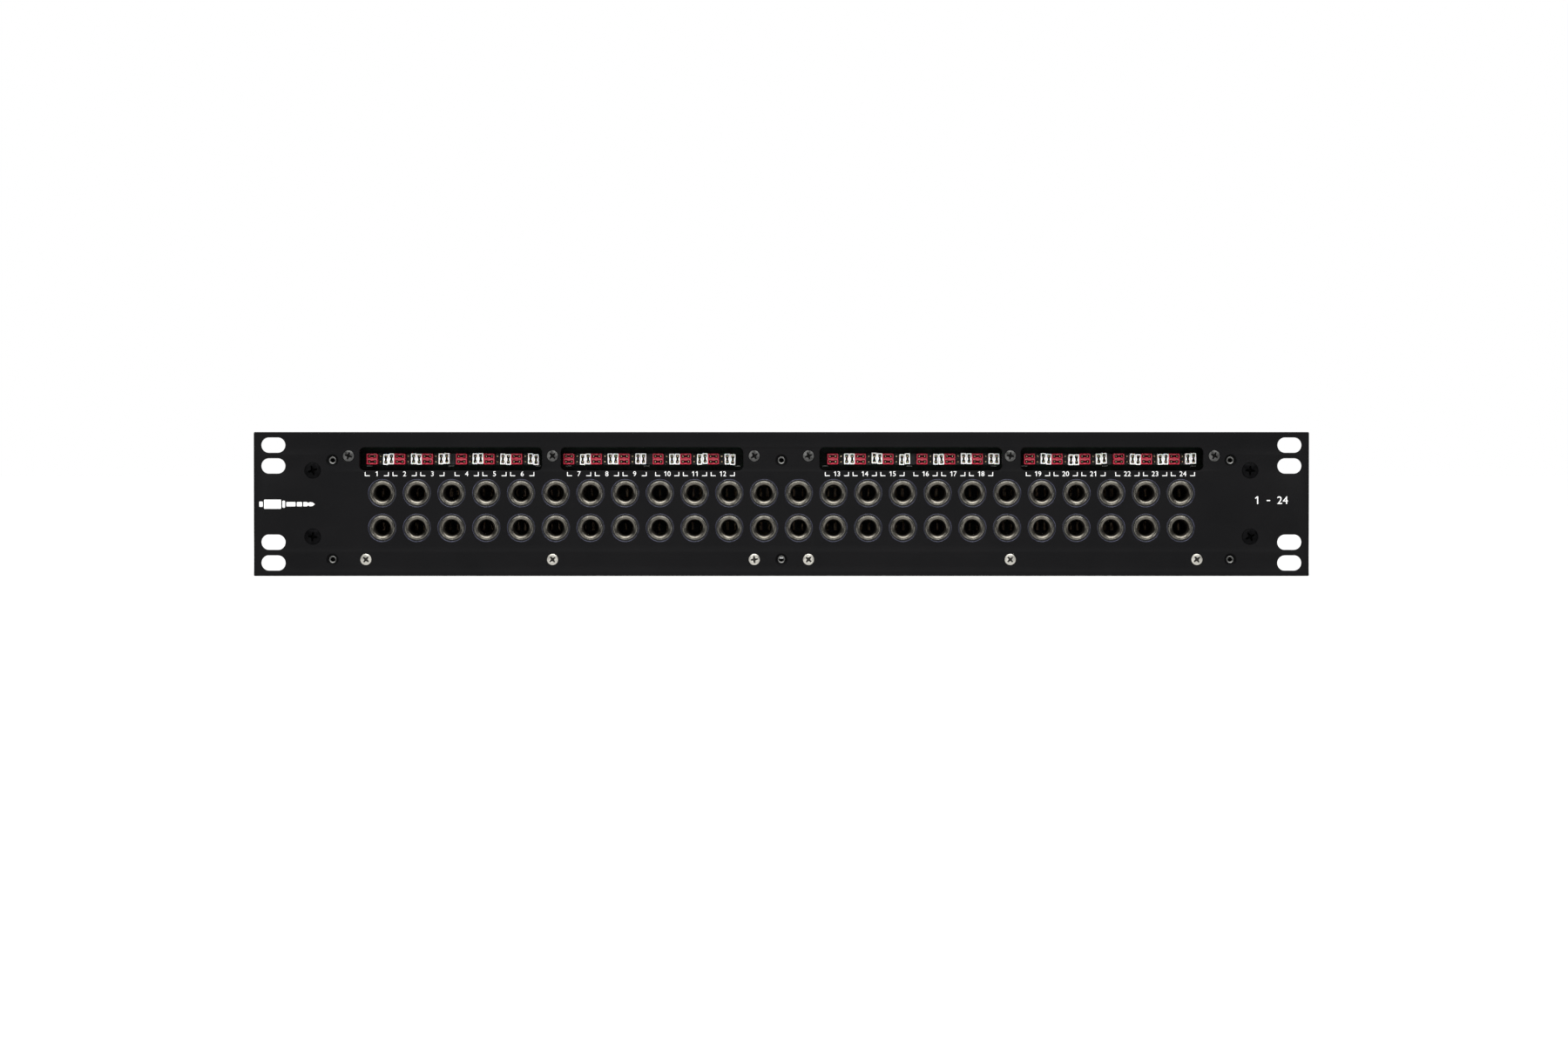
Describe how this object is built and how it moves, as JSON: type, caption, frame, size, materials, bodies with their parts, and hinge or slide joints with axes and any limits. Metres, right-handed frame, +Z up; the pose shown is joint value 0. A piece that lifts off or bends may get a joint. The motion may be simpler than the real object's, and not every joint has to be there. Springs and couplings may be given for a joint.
{
  "type": "audio patch bay",
  "caption": "Rack-mount audio patch bay: black panel with two rows of quarter-inch sockets, windows onto programming shunts and a shallow steel case with rear multi-pin connectors.",
  "frame": {"origin": "middle of the overall box in X and Y, at the height of the panel's lower edge, which is the lowest point", "axes": "+X along the rack to the viewer's right, +Y back from the panel into the rack, +Z up"},
  "size_m": [0.4826, 0.1972, 0.0659],
  "materials": {
    "panel_black": "satin black anodised aluminium",
    "case_steel": "fine-textured black powder coat on folded steel",
    "jack_nickel": "bright nickel plate",
    "moulded_black": "moulded black thermoplastic",
    "board_green": "green solder mask on glass-epoxy board",
    "spring_metal": "nickel-silver contact spring",
    "red_plastic": "moulded crimson shunt caps",
    "white_plastic": "moulded white shunt caps",
    "connector_nickel": "tin-plated steel shell",
    "ribbon_grey": "grey flat cable",
    "screw_black": "black oxide on steel",
    "screw_nickel": "bright nickel-plated steel",
    "screw_dull": "dull zinc-plated steel"
  },
  "bodies": {
    "chassis": {"front_panel": "panel_black", "chassis_tray": "case_steel", "top_cover": "case_steel", "rear_panel": "case_steel", "jack_frame_left": "jack_nickel", "contact_block_left": "moulded_black", "jack_board_left": "board_green", "programming_board_left": "board_green", "jack_frame_right": "jack_nickel", "contact_block_right": "moulded_black", "jack_board_right": "board_green", "programming_board_right": "board_green", "pin_header_1": "moulded_black", "pin_header_2": "moulded_black", "pin_header_3": "moulded_black", "pin_header_4": "moulded_black", "rear_connector_1": "connector_nickel", "ribbon_cable_1": "ribbon_grey", "rear_connector_2": "connector_nickel", "ribbon_cable_2": "ribbon_grey", "rear_connector_3": "connector_nickel", "ribbon_cable_3": "ribbon_grey", "rear_connector_4": "connector_nickel", "ribbon_cable_4": "ribbon_grey", "rear_connector_5": "connector_nickel", "ribbon_cable_5": "ribbon_grey", "rear_connector_6": "connector_nickel", "ribbon_cable_6": "ribbon_grey", "case_screw_1": "screw_black", "case_screw_2": "screw_black", "case_screw_3": "screw_black", "case_screw_4": "screw_black", "frame_screw_lower_1": "screw_nickel", "frame_screw_upper_1": "screw_dull", "frame_screw_lower_2": "screw_nickel", "frame_screw_upper_2": "screw_dull", "frame_screw_lower_3": "screw_nickel", "frame_screw_upper_3": "screw_dull", "frame_screw_lower_4": "screw_nickel", "frame_screw_upper_4": "screw_dull", "frame_screw_lower_5": "screw_nickel", "frame_screw_upper_5": "screw_dull", "frame_screw_lower_6": "screw_nickel", "frame_screw_upper_6": "screw_dull"},
    "tip_springs_lower_left": {"tip_springs_lower_left": "spring_metal"},
    "ring_springs_lower_left": {"ring_springs_lower_left": "spring_metal"},
    "tip_springs_upper_left": {"tip_springs_upper_left": "spring_metal"},
    "ring_springs_upper_left": {"ring_springs_upper_left": "spring_metal"},
    "tip_springs_lower_right": {"tip_springs_lower_right": "spring_metal"},
    "ring_springs_lower_right": {"ring_springs_lower_right": "spring_metal"},
    "tip_springs_upper_right": {"tip_springs_upper_right": "spring_metal"},
    "ring_springs_upper_right": {"ring_springs_upper_right": "spring_metal"},
    "red_shunts_1": {"red_shunts_1": "red_plastic"},
    "white_shunts_1": {"white_shunts_1": "white_plastic"},
    "red_shunts_2": {"red_shunts_2": "red_plastic"},
    "white_shunts_2": {"white_shunts_2": "white_plastic"},
    "red_shunts_3": {"red_shunts_3": "red_plastic"},
    "white_shunts_3": {"white_shunts_3": "white_plastic"},
    "red_shunts_4": {"red_shunts_4": "red_plastic"},
    "white_shunts_4": {"white_shunts_4": "white_plastic"}
  },
  "joints": [
    {"name": "red_shunts_1_pull", "type": "slide", "parent": "chassis", "child": "red_shunts_1", "axis": [0, -1, 0], "range_m": [0, 0.016]},
    {"name": "white_shunts_1_pull", "type": "slide", "parent": "chassis", "child": "white_shunts_1", "axis": [0, -1, 0], "range_m": [0, 0.016]},
    {"name": "red_shunts_2_pull", "type": "slide", "parent": "chassis", "child": "red_shunts_2", "axis": [0, -1, 0], "range_m": [0, 0.016]},
    {"name": "white_shunts_2_pull", "type": "slide", "parent": "chassis", "child": "white_shunts_2", "axis": [0, -1, 0], "range_m": [0, 0.016]},
    {"name": "red_shunts_3_pull", "type": "slide", "parent": "chassis", "child": "red_shunts_3", "axis": [0, -1, 0], "range_m": [0, 0.016]},
    {"name": "white_shunts_3_pull", "type": "slide", "parent": "chassis", "child": "white_shunts_3", "axis": [0, -1, 0], "range_m": [0, 0.016]},
    {"name": "red_shunts_4_pull", "type": "slide", "parent": "chassis", "child": "red_shunts_4", "axis": [0, -1, 0], "range_m": [0, 0.016]},
    {"name": "white_shunts_4_pull", "type": "slide", "parent": "chassis", "child": "white_shunts_4", "axis": [0, -1, 0], "range_m": [0, 0.016]},
    {"name": "tip_springs_lower_left_bend", "type": "hinge", "parent": "chassis", "child": "tip_springs_lower_left", "pos_m": [0, -0.0448, 0.0271], "axis": [-1, 0, 0], "range_deg": [0, 2.5], "stiffness_Nm_per_rad": 1},
    {"name": "ring_springs_lower_left_bend", "type": "hinge", "parent": "chassis", "child": "ring_springs_lower_left", "pos_m": [0, -0.0448, 0.0171], "axis": [1, 0, 0], "range_deg": [0, 2.5], "stiffness_Nm_per_rad": 1},
    {"name": "tip_springs_upper_left_bend", "type": "hinge", "parent": "chassis", "child": "tip_springs_upper_left", "pos_m": [0, -0.0448, 0.04297], "axis": [-1, 0, 0], "range_deg": [0, 2.5], "stiffness_Nm_per_rad": 1},
    {"name": "ring_springs_upper_left_bend", "type": "hinge", "parent": "chassis", "child": "ring_springs_upper_left", "pos_m": [0, -0.0448, 0.03297], "axis": [1, 0, 0], "range_deg": [0, 2.5], "stiffness_Nm_per_rad": 1},
    {"name": "tip_springs_lower_right_bend", "type": "hinge", "parent": "chassis", "child": "tip_springs_lower_right", "pos_m": [0, -0.0448, 0.0271], "axis": [-1, 0, 0], "range_deg": [0, 2.5], "stiffness_Nm_per_rad": 1},
    {"name": "ring_springs_lower_right_bend", "type": "hinge", "parent": "chassis", "child": "ring_springs_lower_right", "pos_m": [0, -0.0448, 0.0171], "axis": [1, 0, 0], "range_deg": [0, 2.5], "stiffness_Nm_per_rad": 1},
    {"name": "tip_springs_upper_right_bend", "type": "hinge", "parent": "chassis", "child": "tip_springs_upper_right", "pos_m": [0, -0.0448, 0.04297], "axis": [-1, 0, 0], "range_deg": [0, 2.5], "stiffness_Nm_per_rad": 1},
    {"name": "ring_springs_upper_right_bend", "type": "hinge", "parent": "chassis", "child": "ring_springs_upper_right", "pos_m": [0, -0.0448, 0.03297], "axis": [1, 0, 0], "range_deg": [0, 2.5], "stiffness_Nm_per_rad": 1}
  ],
  "couplings": [
    {"joint": "ring_springs_lower_left_bend", "follows": "tip_springs_lower_left_bend", "ratio": 1},
    {"joint": "ring_springs_upper_left_bend", "follows": "tip_springs_upper_left_bend", "ratio": 1},
    {"joint": "ring_springs_lower_right_bend", "follows": "tip_springs_lower_right_bend", "ratio": 1},
    {"joint": "ring_springs_upper_right_bend", "follows": "tip_springs_upper_right_bend", "ratio": 1}
  ]
}
